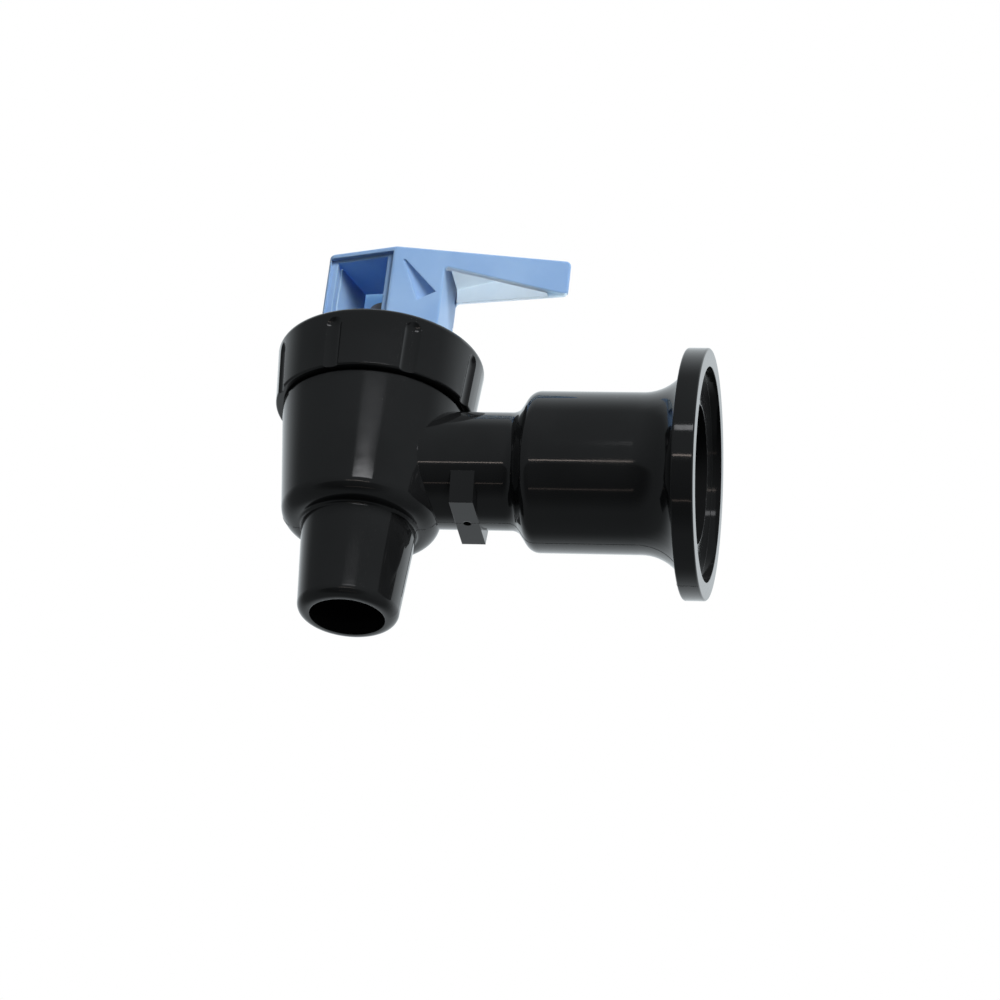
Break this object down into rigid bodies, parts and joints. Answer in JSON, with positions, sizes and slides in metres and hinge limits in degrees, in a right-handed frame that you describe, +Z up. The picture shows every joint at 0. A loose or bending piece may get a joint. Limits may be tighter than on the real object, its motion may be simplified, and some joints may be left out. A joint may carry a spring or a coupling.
{
  "type": "water cooler faucet",
  "caption": "Push-lever water cooler faucet: black flanged body with a threaded inlet, downward spout and fluted bonnet, and a blue lever that lifts a sprung stem.",
  "frame": {"origin": "centre of the wall flange's face, on the inlet axis", "axes": "+X along the inlet axis into the cooler, +Z up along the valve axis, the spout points down"},
  "size_m": [0.0791, 0.044, 0.0708],
  "materials": {
    "black_plastic": "glossy black moulded polypropylene",
    "blue_plastic": "satin sky-blue moulded plastic",
    "stem_plastic": "grey-brown acetal",
    "silicone": "translucent white food-grade silicone",
    "steel": "stainless wire and pin",
    "washer_plastic": "white nylon",
    "rubber": "black rubber"
  },
  "bodies": {
    "body": {"faucet_body": "black_plastic", "bonnet_cap": "black_plastic", "inlet_washer": "rubber"},
    "turret": {"spring_washer": "washer_plastic", "return_spring": "steel"},
    "stem": {"valve_stem": "stem_plastic", "seat_cup": "silicone"},
    "handle": {"handle": "blue_plastic", "handle_pin": "steel"}
  },
  "joints": [
    {"name": "handle_swivel", "type": "hinge", "parent": "body", "child": "turret", "pos_m": [-0.0606, 0, 0.0223], "axis": [0, 0, 1], "continuous": true},
    {"name": "stem_lift", "type": "slide", "parent": "turret", "child": "stem", "axis": [0, 0, 1], "range_m": [0, 0.00336], "deforming": ["return_spring"]},
    {"name": "handle_tilt", "type": "hinge", "parent": "stem", "child": "handle", "pos_m": [-0.0606, 0, 0.0255], "axis": [0.108, 0.9942, 0], "range_deg": [0, 22], "stiffness_Nm_per_rad": 0.08, "springref_deg": -28.65}
  ],
  "couplings": [
    {"joint": "stem_lift", "follows": "handle_tilt", "m_per_rad": 0.0087506}
  ]
}
